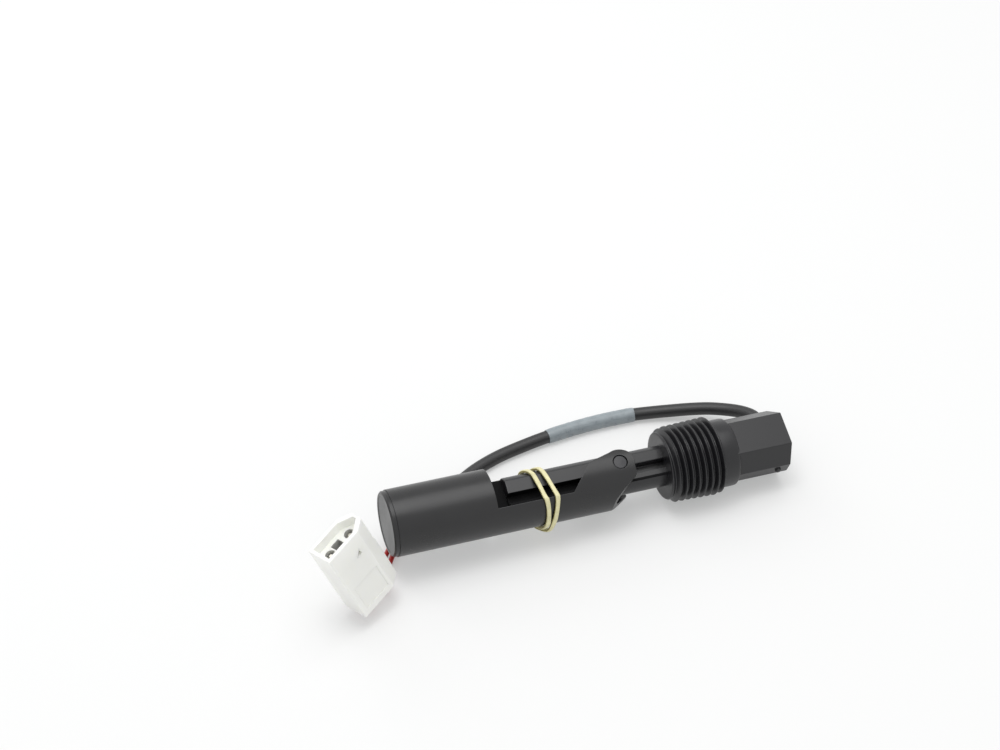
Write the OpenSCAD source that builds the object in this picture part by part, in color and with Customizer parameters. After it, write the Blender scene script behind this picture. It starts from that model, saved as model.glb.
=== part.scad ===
// Side-mounted float switch with a moulded screw-in body, a hinged float, a cable and a plug.
// It lies on a table on its thread, on its side, with its float held shut by a rubber band.
// +X runs along the switch from the float's tail to the hexagon, +Z is up, Z = 0 is the table.

/* [Pipe thread] */
// Outside diameter of the pipe thread at its large end
thread_d = 21.34; // [20.6:0.02:22]
// Pitch of the pipe thread
thread_pitch = 1.814; // [1.6:0.002:2]
// Depth of the pipe thread
thread_depth = 1.2; // [0.6:0.1:1.4]
// Number of thread crests
thread_turns = 7; // [4:1:9]
// Taper of the thread, length for each unit of diameter
thread_taper = 16; // [12:1:20]
// Radius of the flat front face of the threaded part
face_r = 9.2; // [8.6:0.1:9.6]
// Length of the plain lead in front of the first crest
lead_len = 1.6; // [1:0.1:3]

/* [Hexagon and collar] */
// Radius of the round collar behind the thread
collar_r = 9.2; // [8.8:0.1:9.6]
// Length of the round collar
collar_len = 3.8; // [2:0.1:8]
// Distance across the flats of the hexagon
hex_af = 15.8; // [15:0.1:18]
// Length of the hexagon
hex_len = 16.2; // [13:0.1:20]
// Width of the flat that marks the float's swinging side on the hexagon
mark_flat_w = 4; // [2:0.2:5]
// Diameter of the raised dot on the marking flat
mark_dot_d = 1.6; // [1:0.1:2]
// Height of the raised dot
mark_dot_h = 0.4; // [0.2:0.1:0.6]
// Distance from the dot to the rear end of the hexagon
mark_dot_back = 3.8; // [2:0.1:6]

/* [Stem] */
// Distance from the hinge axis to the front face of the thread
face_x = 13.2; // [12:0.1:18]
// Distance from the hinge axis to the stem's end
stem_reach = 30.5; // [28:0.1:32]
// Radius of the stem's rounded top and bottom
stem_r = 5.5; // [5.2:0.1:5.8]
// Width of the stem
stem_w = 9; // [8.4:0.1:9.4]
// Height of the side grooves of the stem
groove_h = 2.7; // [1.5:0.1:3.2]
// Depth of the side grooves of the stem
groove_deep = 1.3; // [0.6:0.1:1.6]
// Distance of the grooves' middle below the axis
groove_drop = 1.1; // [0:0.1:1.5]
// Length of the thin lip at the top of the stem's end
lip_len = 3.4; // [1:0.1:3.6]
// Thickness of the lip where it leaves the stem
lip_t = 1.4; // [0.8:0.1:2]

/* [Hinge] */
// Diameter of the two pivot pins
pin_d = 3.9; // [3.4:0.1:4.2]
// Radial running clearance between a pin and its ear
pin_gap = 0.08; // [0.02:0.01:0.1]
// Distance of a pin's inner end from the axis
pin_inner = 2.6; // [2.3:0.1:3.4]
// Radius of the hub that carries a pin on the stem
hub_r = 3.3; // [2.8:0.1:3.4]
// Distance of a hub's face from the axis
hub_reach = 6.2; // [5.6:0.1:6.3]

/* [Float] */
// Outside diameter of the float
float_d = 17.8; // [17:0.1:18]
// Wall of the float
float_wall = 1.5; // [1.2:0.1:1.6]
// Distance from the hinge axis to the tail of the float
float_reach = 63; // [55:0.5:75]
// Distance from the hinge axis to the step at the end of the trough
step_reach = 35; // [34.9:0.1:38]
// Distance of the trough's edges below the axis
trough_drop = 5.1; // [4.6:0.1:5.4]
// Radius of an ear round its pin
ear_r = 3.9; // [3.5:0.1:4.2]
// Distance from the hinge axis to the foot of the ear's slant
slant_foot = 14.2; // [11:0.1:18]
// Distance from the hinge axis to the top of the ear's slant
slant_top = 8; // [6:0.1:10]
// Height of the top of the ear's slant above the axis
slant_rise = 1.7; // [1:0.1:2.4]
// Thickness of the cap's flange at the tail
cap_flange = 1.4; // [1:0.1:2.5]
// Length of the cap's spigot inside the float
cap_spigot = 2.4; // [1.5:0.1:4]
// Diameter of the magnet
magnet_d = 6; // [4:0.1:8]
// Length of the magnet
magnet_len = 5; // [3:0.1:8]

/* [Reed switch] */
// Radius of the bore that the reed lies in
bore_r = 1.9; // [1.85:0.01:2.1]
// Length of the reed's glass
glass_len = 12; // [10:0.5:14]
// Diameter of the reed's glass
glass_d = 1.7; // [1.5:0.1:1.8]
// Wall of the glass tube
glass_wall = 0.25; // [0.2:0.01:0.3]
// Diameter of the reed's leads
lead_d = 0.5; // [0.4:0.01:0.6]
// Distance of the two leads from the axis, one each side
lead_offset = 0.9; // [0.86:0.01:1]
// Gap between the two blades where they overlap
contact_gap = 0.06; // [0.03:0.01:0.1]

/* [Cable and wires] */
// Diameter of the cable's jacket
cable_d = 3.6; // [3.2:0.1:3.8]
// Diameter of an insulated core
core_d = 1.3; // [1.1:0.05:1.4]
// Distance of the cable's outlet from the rear end of the hexagon
outlet_back = 3.3; // [3.1:0.1:5]
// Radial clearance of the cable in its outlet
outlet_gap = 0.2; // [0.1:0.05:0.3]
// Radius of the potted pocket in the hexagon
pocket_r = 5.6; // [5:0.1:6]
// Depth of the potted pocket
pocket_deep = 13.4; // [12:0.1:14]
// Distance of the potting's surface below the rim
potting_drop = 0.5; // [0.2:0.1:0.8]
// Wall of the grey marking sleeve on the cable
sleeve_wall = 0.25; // [0.2:0.05:0.6]

/* [Plug] */
// Width of the plug's housing
plug_w = 14.6; // [13:0.1:17]
// Thickness of the plug's housing
plug_t = 8; // [7.6:0.1:10]
// Length of the plug's housing
plug_len = 24; // [20:0.1:28]
// Wall of the plug's open shroud
plug_wall = 1.1; // [0.8:0.1:1.4]
// Depth of the plug's open shroud
shroud_deep = 9; // [6:0.1:10]
// Distance between the two contact pins
contact_pitch = 7.2; // [6.6:0.1:7.6]
// Diameter of a contact pin
contact_d = 2.1; // [1.6:0.1:2.4]
// Length of a contact pin that stands free in the shroud
contact_free = 6; // [3:0.1:6.5]

/* [Rubber band] */
// Thickness of the rubber band's strand
band_t = 1.1; // [0.8:0.1:1.4]
// Distance from the hinge axis to the band's first turn
band_reach = 21; // [18:0.5:30]
// Distance between the band's two turns
band_pitch = 3.2; // [2:0.1:5]

/* [Hidden] */

// Roundness of true cylinders and of hand-sized edges
round_fn = 96;
small_fn = 48;
// A little extra that carries a cut through a face
over = 0.5;

// How the switch lies: roll about its own axis, and tilt down towards the hexagon
rest_roll = -70;
rest_tilt = 2.3;

// Places along the switch's axis, measured from the hinge axis
crest_x = face_x + lead_len + thread_pitch / 2;
thread_end = crest_x + (thread_turns - 0.5) * thread_pitch;
collar_end = thread_end + collar_len;
body_end = collar_end + hex_len;
outlet_x = body_end - outlet_back;
pocket_x = body_end - pocket_deep;
float_r = float_d / 2;
trough_r = float_r - float_wall;
shell_end = float_reach - cap_flange;
magnet_x = -step_reach - float_wall;
hex_r = hex_af / 2 / cos(30);
mark_cut = mark_flat_w / 2 / tan(60);
outlet_turn = -30;

// Height of the hinge axis over the table, with the last crest touching the table
last_crest_x = thread_end - thread_pitch / 2;
last_crest_r = crest_radius(last_crest_x + crest_flat());
pin_z = last_crest_r * cos(rest_tilt) + (last_crest_x + crest_flat()) * sin(rest_tilt);
// The middle of the switch, without the cable, is over the part's origin
tail_x = -float_reach * cos(rest_tilt) - (float_r - 0.6) * sin(rest_tilt);
pin_x = -(tail_x + body_end * cos(rest_tilt) + hex_r * sin(rest_tilt)) / 2;

function crest_flat() = thread_pitch / 10;
function crest_radius(x) = thread_d / 2 - (thread_end - x) / thread_taper / 2;

// Wall at the stem's end, past the reed's bore
stem_end_wall = 1;

// Lays a piece drawn in the switch's own frame onto the table
module lay() {
    translate([pin_x, 0, pin_z])
        rotate([0, rest_tilt, 0])
            rotate([rest_roll, 0, 0])
                children();
}

// Turns a shape drawn along Z to run along X, from x
module along_x(x) {
    translate([x, 0, 0]) rotate([0, 90, 0]) children();
}

// A bar along X from x0 to x1, from a section drawn with its first axis down and its second across
module bar_x(x0, x1) {
    along_x(x0) linear_extrude(x1 - x0) children();
}

// Places a shape drawn in plan, with its first axis along X and its second along Z, across the switch
module side_profile(w) {
    translate([0, w / 2, 0]) rotate([90, 0, 0]) linear_extrude(w) children();
}

// A tube of the given radius swept along points, each ring square to the run of the path there
function unit(v) = v / norm(v);
function run_at(p, i, loop) =
    let (n = len(p), a = loop ? (i + n - 1) % n : max(i - 1, 0), b = loop ? (i + 1) % n : min(i + 1, n - 1))
    unit(p[b] - p[a]);
function ring_at(p, i, r, sides, up, loop) =
    let (t = run_at(p, i, loop), s = unit(cross(t, up)), q = cross(s, t))
    [for (k = [0:sides - 1]) p[i] + r * (cos(360 * (k + 0.5) / sides) * s + sin(360 * (k + 0.5) / sides) * q)];
module sweep_tube(p, r, sides = 8, up = [0, 0, 1], loop = false) {
    n = len(p);
    pts = [for (i = [0:n - 1]) each ring_at(p, i, r, sides, up, loop)];
    last = loop ? n - 1 : n - 2;
    side = [for (i = [0:last]) for (k = [0:sides - 1])
        [i * sides + k, i * sides + (k + 1) % sides,
         ((i + 1) % n) * sides + (k + 1) % sides, ((i + 1) % n) * sides + k]];
    ends = loop ? [] : [[for (k = [sides - 1:-1:0]) k], [for (k = [0:sides - 1]) (n - 1) * sides + k]];
    polyhedron(points = pts, faces = concat(side, ends));
}

// Threaded front, collar and hexagon, stem and hinge hubs in one moulding
module thread_and_collar() {
    crests = [for (i = [0:thread_turns - 1])
        let (x = crest_x + i * thread_pitch, f = crest_flat())
        each [[crest_radius(x - f), x - f], [crest_radius(x + f), x + f],
              [crest_radius(x + thread_pitch / 2) - thread_depth, x + thread_pitch / 2]]];
    along_x(0) rotate_extrude($fn = round_fn)
        polygon(concat([[0, face_x], [face_r, face_x], [face_r + 0.4, face_x + lead_len / 2],
            [crest_radius(crest_x) - thread_depth, face_x + lead_len]], crests,
            [[collar_r, thread_end], [collar_r, collar_end], [0, collar_end]]));
}

module hexagon() {
    difference() {
        along_x(collar_end) cylinder(h = hex_len, r = hex_r, $fn = 6);
        translate([collar_end - over, -hex_r, -hex_r - over])
            cube([hex_len + 2 * over, 2 * hex_r, over + mark_cut]);
    }
    translate([body_end - mark_dot_back, 0, mark_cut - hex_r - mark_dot_h])
        cylinder(h = mark_dot_h + over / 2, d = mark_dot_d, $fn = small_fn);
}

module stem() {
    difference() {
        bar_x(-stem_reach, face_x + over) intersection() {
            circle(r = stem_r, $fn = small_fn);
            square([2 * stem_r, stem_w], center = true);
        }
        for (side = [-1, 1])
            translate([-stem_reach - over, side * stem_w / 2 - groove_deep, -groove_drop - groove_h / 2])
                cube([stem_reach + face_x + over, 2 * groove_deep, groove_h]);
    }
    // Thin lip over the end of the trough
    intersection() {
        bar_x(-stem_reach - lip_len, 0) intersection() {
            circle(r = stem_r, $fn = small_fn);
            square([2 * stem_r, stem_w], center = true);
        }
        side_profile(stem_w)
            polygon([[-stem_reach - lip_len, stem_r], [-stem_reach - lip_len, stem_r - lip_t / 2],
                [-stem_reach + over, stem_r - lip_t], [-stem_reach + over, stem_r]]);
    }
    // Hubs that carry the pivot pins
    rotate([90, 0, 0]) cylinder(h = 2 * hub_reach, r = hub_r, center = true, $fn = round_fn);
}

module switch_body() {
    color("#58595c") lay() difference() {
        union() {
            stem();
            thread_and_collar();
            hexagon();
        }
        along_x(stem_end_wall - stem_reach) cylinder(h = stem_reach + body_end, r = bore_r, $fn = round_fn);
        along_x(pocket_x) cylinder(h = pocket_deep + over, r = pocket_r, $fn = round_fn);
        pin_holes(pin_d / 2);
        cable_outlet();
    }
}

module pin_holes(r) {
    for (side = [0, 180]) rotate([90 + side, 0, 0])
        translate([0, 0, pin_inner]) cylinder(h = float_r, r = r, $fn = round_fn);
}

// The outlet runs from the pocket out through one flat
module cable_outlet() {
    translate([outlet_x, 0, 0]) rotate([outlet_turn, 0, 0])
        translate([0, 0, cable_inner]) cylinder(h = hex_r, d = cable_d + 2 * outlet_gap, $fn = round_fn);
}
cable_inner = 3;

module pivot_pins() {
    color("#6b6c6f") lay() for (side = [0, 180]) rotate([90 + side, 0, 0])
        rotate_extrude($fn = round_fn)
            polygon([[0, pin_inner], [pin_d / 2, pin_inner], [pin_d / 2, float_r - 0.55],
                [pin_d / 2 - 0.25, float_r - 0.3], [0, float_r - 0.2]]);
}

// Side view of the trough and its two ears
module ear_profile() {
    polygon([[-step_reach - over, -trough_drop], [-slant_foot, -trough_drop], [-slant_top, slant_rise],
        (ear_r - ear_inset) * [-cos(ear_crown), sin(ear_crown)], [0, 0], [ear_front, -ear_r], [-belly_back, belly_z],
        [-belly_back - ear_chamfer, -float_r - over], [-step_reach - over, -float_r - over]]);
    circle(r = ear_r, $fn = small_fn);
    translate([0, -ear_r]) square([ear_front, ear_r]);
}
// Where the slant meets the round of the ear, and the cut under its front
ear_crown = 66;
ear_inset = 0.06;
ear_front = ear_r - 0.3;
ear_chamfer = 1;
belly_back = 2.6;
belly_z = -float_r + 0.7;

module float_shell() {
    color("#5f6063") lay() difference() {
        union() {
            along_x(-shell_end) cylinder(h = shell_end - step_reach, r = float_r, $fn = round_fn);
            intersection() {
                along_x(-step_reach - over) cylinder(h = step_reach + ear_r + 2 * over, r = float_r, $fn = round_fn);
                side_profile(float_d + 2 * over) ear_profile();
            }
        }
        // Air space behind the step, and the trough
        difference() {
            along_x(-shell_end - over) cylinder(h = shell_end + over + magnet_x, r = trough_r, $fn = round_fn);
            along_x(magnet_x - magnet_len) cylinder(h = magnet_len + over, d = magnet_d + 2 * float_wall, $fn = round_fn);
        }
        along_x(magnet_x - magnet_len - over) cylinder(h = magnet_len + over, d = magnet_d, $fn = round_fn);
        along_x(-step_reach) cylinder(h = step_reach + 2 * ear_r, r = trough_r, $fn = round_fn);
        rotate([90, 0, 0]) cylinder(h = float_d + 2 * over, r = pin_d / 2 + pin_gap, center = true, $fn = round_fn);
    }
}

// Half section of the cap from the middle of its outside to the spigot: dish, rim, flange, spigot
rim_w = 1;
rim_rise = 0.15;
cap_step = 0.2;
rim_r = float_r - cap_step;
module float_cap() {
    color("#5f6063") lay() along_x(-float_reach) rotate_extrude($fn = round_fn)
        polygon([[0, rim_rise], [rim_r - rim_w - 2 * rim_rise, rim_rise], [rim_r - rim_w, 0],
            [rim_r - 2 * cap_step, 0], [rim_r, 2 * cap_step], [rim_r, cap_flange], [spigot_r, cap_flange],
            [spigot_r, cap_flange + cap_spigot], [spigot_r - spigot_wall, cap_flange + cap_spigot],
            [spigot_r - spigot_wall, cap_flange + cap_step], [0, cap_flange + cap_step]]);
}
spigot_wall = 1.2;
spigot_gap = 0.05;
spigot_r = trough_r - spigot_gap;

module float_magnet() {
    color("#3a3a3c") lay() along_x(magnet_x - magnet_len)
        cylinder(h = magnet_len, d = magnet_d, $fn = round_fn);
}

// The stretched band follows the outline round the float's belly and over the top of the stem
band_r = band_t / 2;
band_room = 0.05;
band_bow = 0.12;
function polar(r, a) = [r * cos(a), r * sin(a)];
belly_end = asin(trough_drop / float_r);
band_outline = concat(
    [for (i = [0:14]) polar(float_r + band_r + band_room, 180 + belly_end + i * (180 - 2 * belly_end) / 14)],
    [for (i = [0:8]) polar(stem_r + band_r + band_room, 5 + i * 170 / 8)]);
module rubber_band() {
    color("#d9d4b4") lay() for (turn = [0, 1])
        sweep_tube([for (q = band_outline) [-band_reach + turn * band_pitch + band_bow * abs(q[0]) * (turn - 0.5), q[0], q[1]]],
            band_r, sides = 8, up = [1, 0, 0], loop = true);
}

// Reed switch in the stem: glass, two blades, and leads that run back to the joints
glass_x = 2.6 - stem_reach;
glass_end = glass_x + glass_len;
joint_x = pocket_x + 1;
joint_len = 3;
joint_d = 1.4;
turn_r = lead_offset;
module reed_line(side) {
    translate([0, side * lead_offset, 0]) children();
}

module reed_glass() {
    color("#7fae8e", 0.5) lay() reed_line(-1) along_x(glass_x) rotate_extrude($fn = small_fn)
        polygon([[lead_d / 2, 0], [glass_d / 2 - 0.3, 0], [glass_d / 2, 0.5], [glass_d / 2, glass_len - 0.5],
            [glass_d / 2 - 0.3, glass_len], [lead_d / 2, glass_len], [lead_d / 2, glass_len - 1.4],
            [glass_d / 2 - glass_wall, glass_len - 2], [glass_d / 2 - glass_wall, 2], [lead_d / 2, 1.4]]);
}

blade_w = glass_d - 2 * glass_wall - 0.2;
blade_t = 0.2;
blade_lap = 1.2;
glass_mid = glass_x + glass_len / 2;
module blade(x0, x1, z) {
    translate([min(x0, x1), -blade_w / 2, z - blade_t / 2]) cube([abs(x1 - x0), blade_w, blade_t]);
}
blade_z = (contact_gap + blade_t) / 2;

module reed_blade_front() {
    color("#b9bcc0") lay() {
        reed_line(-1) along_x(glass_x - 0.2) cylinder(h = 2.4, d = lead_d, $fn = small_fn);
        reed_line(-1) blade(glass_x + 2, glass_mid + blade_lap / 2, -blade_z);
        translate([glass_x - 0.2, 0, 0]) rotate([0, 0, 90]) rotate_extrude(angle = 180, $fn = small_fn)
            translate([turn_r, 0]) circle(d = lead_d, $fn = small_fn);
        reed_line(1) along_x(glass_x - 0.2) cylinder(h = joint_x - glass_x + 0.2, d = lead_d, $fn = small_fn);
    }
}

module reed_blade_rear() {
    color("#b9bcc0") lay() {
        reed_line(-1) along_x(glass_end - 2.2) cylinder(h = joint_x - glass_end + 2.2, d = lead_d, $fn = small_fn);
        reed_line(-1) blade(glass_mid - blade_lap / 2, glass_end - 2, blade_z);
    }
}

module return_sleeve() {
    color("#e8e8e0") lay() reed_line(1) along_x(glass_x + 1) difference() {
        cylinder(h = joint_x - glass_x - 3, d = lead_d + 0.5, $fn = small_fn);
        translate([0, 0, -over]) cylinder(h = joint_x - glass_x, d = lead_d, $fn = small_fn);
    }
}

module solder_joints() {
    color("#c8cacc") lay() for (side = [-1, 1]) reed_line(side)
        along_x(joint_x) cylinder(h = joint_len, d = joint_d, $fn = small_fn);
}

// A core runs back from its joint, turns to the outlet and meets the cable's end
core_from = joint_x + joint_len;
core_turn = core_d / 2;
turn_inset = 0.15;
outlet_dir = [0, -sin(outlet_turn), cos(outlet_turn)];
function core_end(side) = cable_inner + side * lead_offset * sin(outlet_turn);
module core_wire(side) {
    corner = [outlet_x, side * lead_offset, 0];
    sweep_tube([[core_from, side * lead_offset, 0], corner - [core_turn, 0, 0],
        corner - [turn_inset, 0, 0] + turn_inset * outlet_dir, corner + core_turn * outlet_dir,
        corner + core_end(side) * outlet_dir], core_d / 2, up = [0, cos(outlet_turn), sin(outlet_turn)]);
}
module core_wire_a() { color("#a8231f") lay() core_wire(-1); }
module core_wire_b() { color("#a8231f") lay() core_wire(1); }

// The way that the two cores take through the potting
module core_channel(side) {
    reed_line(side) along_x(pocket_x - over)
        cylinder(h = outlet_x + core_turn - pocket_x + over, d = core_d, $fn = small_fn);
    translate([outlet_x, side * lead_offset, 0]) rotate([outlet_turn, 0, 0])
        translate([0, 0, -core_turn]) cylinder(h = cable_inner + 2 * core_turn, d = core_d, $fn = small_fn);
}

module potting_fill() {
    color("#2c2c2e") lay() difference() {
        along_x(pocket_x) cylinder(h = pocket_deep - potting_drop, r = pocket_r, $fn = round_fn);
        cable_outlet();
        for (side = [-1, 1]) {
            core_channel(side);
            reed_line(side) along_x(pocket_x - over)
                cylinder(h = core_from - pocket_x + over, d = joint_d, $fn = small_fn);
        }
    }
}

// Route of the cable: out of the far flat, down to the table, back past the float and under it
cable_route = [[51.9, 3, 9.4], [51.8, 7.8, 8.6], [51.8, 11, 8], [51.1, 14.5, 7.3], [49.4, 17.8, 6.4],
    [46.4, 20.6, 5.5], [42.6, 23.2, 4.5], [38.4, 25.4, 3.6], [34, 27.1, 2.8], [29.5, 28.3, 2.3],
    [24.9, 29, 2.1], [20, 29.3, 2.1], [14, 29.4, 2.1], [7, 29.1, 2.1], [-1, 28.3, 2.1], [-8, 27.3, 1.9],
    [-16, 25.6, 1.8], [-23, 23, 1.8], [-29, 19.7, 1.8], [-34.5, 16.4, 1.8], [-39.8, 13.2, 1.8],
    [-44.8, 10, 1.8], [-49.4, 6.6, 1.8]];
// First and last point of the route that the grey sleeve covers
sleeve_from = 10;
sleeve_to = 14;

module cable_jacket() {
    color("#2f3033") sweep_tube(cable_route, cable_d / 2);
}

// Grey sleeve that is shrunk on the cable along the back
function route_part(a, b) = [for (i = [a:b]) cable_route[i]];
module marker_sleeve() {
    color("#8d8f92") difference() {
        sweep_tube(route_part(sleeve_from, sleeve_to), cable_d / 2 + sleeve_wall);
        sweep_tube(route_part(sleeve_from - 1, sleeve_to + 1), cable_d / 2);
    }
}

// Plug housing: its own Z points out of the open shroud, X runs across the two contacts
plug_place = [-66.4, -12.5, 16.5];
plug_turn = [-12.8, -15.7, 31.3];
plug_corner_w = 3.8;
plug_corner_t = 2.4;
module lay_plug() {
    translate(plug_place) rotate(plug_turn) children();
}

module plug_outline(inset) {
    w = plug_w / 2 - inset;
    t = plug_t / 2 - inset;
    polygon([[-w, -t], [w - plug_corner_w, -t], [w, -t + plug_corner_t], [w, t - plug_corner_t],
        [w - plug_corner_w, t], [-w, t]]);
}

contact_mid = -0.8;
// Square hole between the contacts
key_w = 2.6;
key_deep = 6;
module contact_places() {
    for (side = [-1, 1]) translate([contact_mid + side * contact_pitch / 2, 0, 0]) children();
}
module plug_housing() {
    color("#e6e6df") lay_plug() difference() {
        translate([0, 0, -plug_len / 2]) linear_extrude(plug_len) plug_outline(0);
        translate([0, 0, plug_len / 2 - shroud_deep]) linear_extrude(shroud_deep + over) plug_outline(plug_wall);
        // Way for the contacts, and the square hole between them
        contact_places() translate([0, 0, -plug_len / 2 - over])
            cylinder(h = plug_len, d = contact_d + 2 * crimp_wall, $fn = small_fn);
        translate([contact_mid - key_w / 2, -key_w / 2, plug_len / 2 - shroud_deep - key_deep])
            cube([key_w, key_w, key_deep + over]);
    }
}

// A contact: crimp barrel round the wire, shoulder, and the round pin in the shroud
crimp_wall = 0.35;
crimp_back = 2;
crimp_len = 3;
collar_at = 3;
crimp_z = crimp_back + crimp_len - plug_len / 2;
contact_end = plug_len / 2 - shroud_deep + contact_free;
contact_tip = 0.6;
module contact_pin(side) {
    r = contact_d / 2;
    color("#c9a45a") lay_plug() translate([contact_mid + side * contact_pitch / 2, 0, 0])
        rotate_extrude($fn = small_fn)
            polygon([[core_d / 2, crimp_z - crimp_len], [core_d / 2 + crimp_wall, crimp_z - crimp_len],
                [core_d / 2 + crimp_wall, crimp_z], [r, crimp_z + contact_tip],
                [r + crimp_wall, crimp_z + collar_at], [r + crimp_wall, crimp_z + collar_at + 1],
                [r, crimp_z + collar_at + 1 + crimp_wall], [r, contact_end - contact_tip],
                [r - contact_tip, contact_end], [0, contact_end], [0, crimp_z], [core_d / 2, crimp_z]]);
}
module contact_pin_a() { contact_pin(-1); }
module contact_pin_b() { contact_pin(1); }

// The two red wires from the cable's end, under the float, to the contacts in the plug
wire_a_route = [[-48.8, 7.9, 1.8], [-49.9, 7.1, 1.8], [-51.4, 5.8, 1.6], [-54.2, 2.8, 1.1], [-57, -1, 0.8],
    [-59.4, -5, 0.7], [-61.7, -9.4, 0.7], [-63.6, -12.8, 0.8], [-64.7, -14.4, 1.3], [-65.4, -15.2, 2.5],
    [-65.9, -15.3, 4], [-67.3, -15.1, 7.8]];
wire_b_route = [[-48, 6.8, 1.8], [-49.1, 6, 1.8], [-50.2, 5, 1.7], [-52.2, 2.6, 1.3], [-54.7, -1, 0.9],
    [-56.7, -4.6, 0.7], [-58.2, -8, 0.8], [-58.8, -9.9, 1.3], [-59.2, -11.2, 2.6], [-59.5, -11.7, 4.2],
    [-60, -11.7, 6], [-61.3, -11.5, 9.6]];
wire_side = [0.85, -0.5, 0];
module lead_wire_a() { color("#a8231f") sweep_tube(wire_a_route, core_d / 2, up = wire_side); }
module lead_wire_b() { color("#a8231f") sweep_tube(wire_b_route, core_d / 2, up = wire_side); }

switch_body();
pivot_pins();
float_shell();
float_cap();
float_magnet();
rubber_band();
reed_glass();
reed_blade_front();
reed_blade_rear();
return_sleeve();
solder_joints();
core_wire_a();
core_wire_b();
potting_fill();
cable_jacket();
marker_sleeve();
plug_housing();
contact_pin_a();
contact_pin_b();
lead_wire_a();
lead_wire_b();
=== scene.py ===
import math

import bmesh
import bpy
from mathutils import Matrix, Vector


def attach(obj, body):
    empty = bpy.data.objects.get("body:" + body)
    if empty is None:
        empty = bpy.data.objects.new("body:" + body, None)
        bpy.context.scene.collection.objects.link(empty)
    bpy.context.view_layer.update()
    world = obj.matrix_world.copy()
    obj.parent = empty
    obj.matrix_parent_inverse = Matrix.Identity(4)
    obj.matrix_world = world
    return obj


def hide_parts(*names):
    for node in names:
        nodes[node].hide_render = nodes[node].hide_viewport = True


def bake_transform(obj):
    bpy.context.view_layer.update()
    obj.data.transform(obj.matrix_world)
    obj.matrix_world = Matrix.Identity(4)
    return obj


# Frame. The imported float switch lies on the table, in metres. Routes and moulded shapes are
# drawn in millimetres below, and are brought to metres when they are laid in place.
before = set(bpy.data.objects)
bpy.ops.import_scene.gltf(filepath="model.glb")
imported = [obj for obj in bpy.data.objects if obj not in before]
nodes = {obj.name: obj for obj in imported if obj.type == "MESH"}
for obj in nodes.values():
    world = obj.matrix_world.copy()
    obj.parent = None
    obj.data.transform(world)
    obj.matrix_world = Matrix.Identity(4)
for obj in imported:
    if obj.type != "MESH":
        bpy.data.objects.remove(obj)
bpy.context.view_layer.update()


# Camera. It looks down at the switch from its front left, half a metre off, through a long
# lens, as in the photo.
camera_tilt, camera_turn = 46.5, -18.3
camera_data = bpy.data.cameras.new("camera")
camera_data.lens = 73.62
camera_data.sensor_width = 36
camera_data.clip_start = 0.05
camera = bpy.data.objects.new("camera", camera_data)
camera.location = (-0.1391, -0.3475, 0.4055)
camera.rotation_euler = (math.radians(camera_tilt), 0, math.radians(camera_turn))
bpy.context.scene.collection.objects.link(camera)
bpy.context.scene.camera = camera
bpy.context.scene.view_settings.view_transform = "Standard"


# Cable. Two cores in a round black PVC jacket, potted into the hexagon. It leaves through the
# far flat, drops to the table, lies behind the switch and goes in under the float.
cable_d = 0.0036
cable_route = [
    (51.9, 3, 9.4), (52.3, 7.6, 8.4), (54.1, 10.4, 7.3), (54.4, 13.7, 6.5), (52.6, 17.0, 5.7),
    (49.3, 20.1, 4.8), (44.9, 22.8, 4.1), (40.0, 24.9, 3.4), (34.8, 26.7, 2.7), (29.5, 28.1, 2.3),
    (24.9, 29, 2.1), (20, 29.3, 2.1), (14, 29.4, 2.1), (7, 29.1, 2.1), (-1, 28.3, 2.1),
    (-8, 27.3, 1.9), (-16, 25.6, 1.8), (-23, 23, 1.8), (-29, 19.7, 1.8), (-34.5, 16.4, 1.8),
    (-39.8, 13.2, 1.8), (-44.8, 10, 1.8), (-49.4, 6.6, 1.8)]


def path_tangents(points):
    """How far a smooth path through the points runs at each, per point."""
    last = len(points) - 1
    return [(points[min(i + 1, last)] - points[max(i - 1, 0)]) / (2 if 0 < i < last else 1)
            for i in range(len(points))]


def laid_line(name, route_mm, diameter, material):
    """A round cord on one open spline through the route's points."""
    points = [Vector(p) / 1000 for p in route_mm]
    curve = bpy.data.curves.new(name, "CURVE")
    curve.dimensions = "3D"
    curve.bevel_depth = diameter / 2
    curve.bevel_resolution = 6
    curve.resolution_u = 8
    curve.use_fill_caps = True
    spline = curve.splines.new("BEZIER")
    spline.bezier_points.add(len(points) - 1)
    for knot, point, run in zip(spline.bezier_points, points, path_tangents(points)):
        knot.co = point
        knot.handle_left_type = knot.handle_right_type = "FREE"
        knot.handle_left, knot.handle_right = point - run / 3, point + run / 3
    curve.materials.append(material)
    line = bpy.data.objects.new(name, curve)
    bpy.context.scene.collection.objects.link(line)
    return line


def add_sockets(group, inputs, outputs):
    """Gives a node group its sockets, and returns what it is given and what it makes."""
    for name, kind, value in inputs:
        socket = group.interface.new_socket(name, in_out="INPUT", socket_type=kind)
        socket.default_value = value
    for name, kind in outputs:
        group.interface.new_socket(name, in_out="OUTPUT", socket_type=kind)
    given = group.nodes.new("NodeGroupInput").outputs
    return given, group.nodes.new("NodeGroupOutput").inputs


def add_node(tree, kind, links=(), **settings):
    """A new node; each link gives a socket either another node's output or a value."""
    node = tree.nodes.new(kind)
    for name, value in settings.items():
        setattr(node, name, value)
    for socket, source in links:
        if hasattr(source, "is_output"):
            tree.links.new(source, node.inputs[socket])
        else:
            node.inputs[socket].default_value = source
    return node


def math_node(tree, operation, a, b):
    return add_node(tree, "ShaderNodeMath", [(0, a), (1, b)], operation=operation).outputs[0]


def scaled_colour(tree, colour, factor):
    node = add_node(tree, "ShaderNodeVectorMath", [(0, colour)], operation="SCALE")
    tree.links.new(factor, node.inputs["Scale"])
    return node.outputs[0]


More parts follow.
